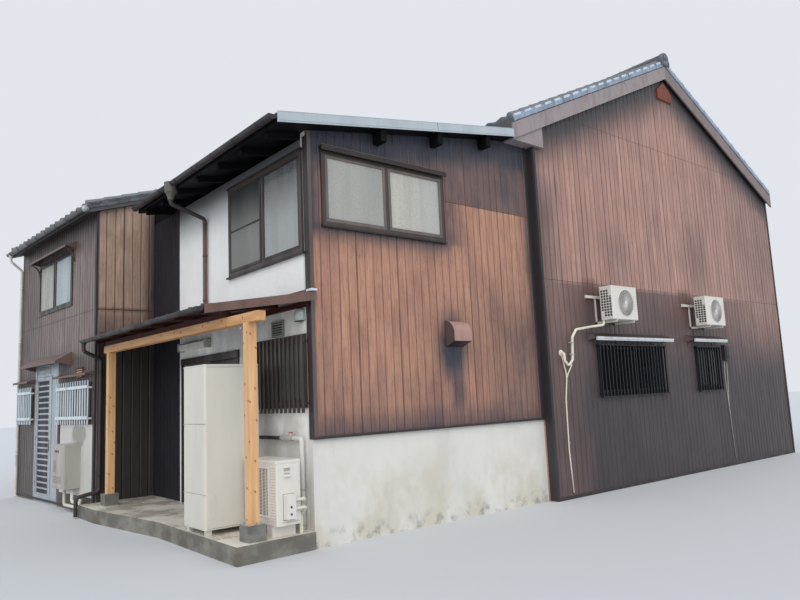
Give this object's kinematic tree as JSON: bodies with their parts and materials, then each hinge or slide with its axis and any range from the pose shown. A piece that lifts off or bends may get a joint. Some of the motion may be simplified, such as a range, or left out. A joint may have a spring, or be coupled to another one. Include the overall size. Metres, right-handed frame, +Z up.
{
  "type": "machiya townhouse",
  "caption": "Two storey timber townhouse with a tiled gable roof, a plastered lean-to wing, a skewed rear wing, a porch on posts and fixed outdoor plant.",
  "frame": {"origin": "middle of the footprint of the whole model, on the lowest ground", "axes": "+X along the long side with the plastered wing and the gable, from the wing to the party wall; +Y into the plot, away from that side; +Z up"},
  "size_m": [13.9008, 9.62, 8.05],
  "materials": {
    "bronze_frame": "dark bronze aluminium",
    "brown_metal": "brown sheet metal",
    "concrete": "grey concrete, wet stains",
    "cream_case": "cream painted steel case",
    "dark_boards": "dark stained boards",
    "floor_timber": "plain boards",
    "gable_cladding": "weathered reddish brown ribbed sheet",
    "grey_boards": "grey vertical boards",
    "grey_case": "light grey painted steel case",
    "gutter_brown": "dark brown rain gutter",
    "gutter_grey": "grey rain gutter",
    "metal_roof": "blue grey sheet metal",
    "new_timber": "new planed cedar with knots",
    "party_plaster": "plain grey render",
    "red_timber": "reddish brown stained timber",
    "roof_tile": "dark grey fired tiles, slightly glossy",
    "silver_frame": "silver aluminium",
    "steel_grey": "grey sheet metal",
    "steel_siding": "weathered ribbed sheet, orange brown",
    "taupe_paint": "taupe painted board",
    "white_metal": "white powder coated steel",
    "white_stucco": "white lime plaster with damp stains",
    "window_glass": "clear and frosted panes"
  },
  "bodies": {
    "house": {"gable_wall": "gable_cladding", "back_wall": "gable_cladding", "party_wall": "party_plaster", "main_upper_wall": "gable_cladding", "main_roof_left": "roof_tile", "main_roof_right": "roof_tile", "main_ridge": "roof_tile", "bargeboards": "taupe_paint", "eave_return": "taupe_paint", "wing_street_wall": "white_stucco", "wing_siding": "steel_siding", "wing_side_wall": "white_stucco", "nook_wall": "dark_boards", "wing_header": "dark_boards", "wing_roof": "metal_roof", "wing_rafters": "dark_boards", "roof_trims": "metal_roof", "rear_wall_near": "grey_boards", "rear_wall_far": "grey_boards", "rear_wall_over": "grey_boards", "rear_side_wall": "grey_boards", "rear_back_wall": "grey_boards", "rear_roof_front": "roof_tile", "rear_roof_back": "roof_tile", "rear_ridge": "roof_tile", "ground_floor": "concrete", "upper_floor": "floor_timber", "porch_slab": "concrete", "post_blocks": "concrete", "porch_posts": "new_timber", "porch_beam": "new_timber", "porch_purlin": "red_timber", "porch_roof": "brown_metal", "porch_fascia": "brown_metal", "porch_rafters": "red_timber", "wing_window_frames": "bronze_frame", "wing_glass": "window_glass", "gable_window_frames": "silver_frame", "gable_glass": "window_glass", "back_window_frames": "silver_frame", "back_glass": "window_glass", "rear_window_frames": "silver_frame", "rear_glass": "window_glass", "entrance_doors": "bronze_frame", "rear_door_frame": "silver_frame", "window_hoods": "steel_grey", "window_guards": "white_metal", "wing_gutter": "gutter_brown", "rear_gutter": "gutter_grey", "porch_gutter": "gutter_brown", "downpipes": "gutter_brown", "hot_water_tank": "cream_case", "heat_pump": "cream_case", "gas_heater": "grey_case", "wall_units": "cream_case", "exhaust_hood": "brown_metal", "wall_vents": "steel_grey", "service_pipes": "white_metal"},
    "rear_door": {"rear_door_leaf": "silver_frame"}
  },
  "joints": [
    {"name": "rear_door_hinge", "type": "hinge", "parent": "house", "child": "rear_door", "pos_m": [-6.573, 3.60553, 1.2], "axis": [0, 0, -1], "range_deg": [0, 100]}
  ]
}
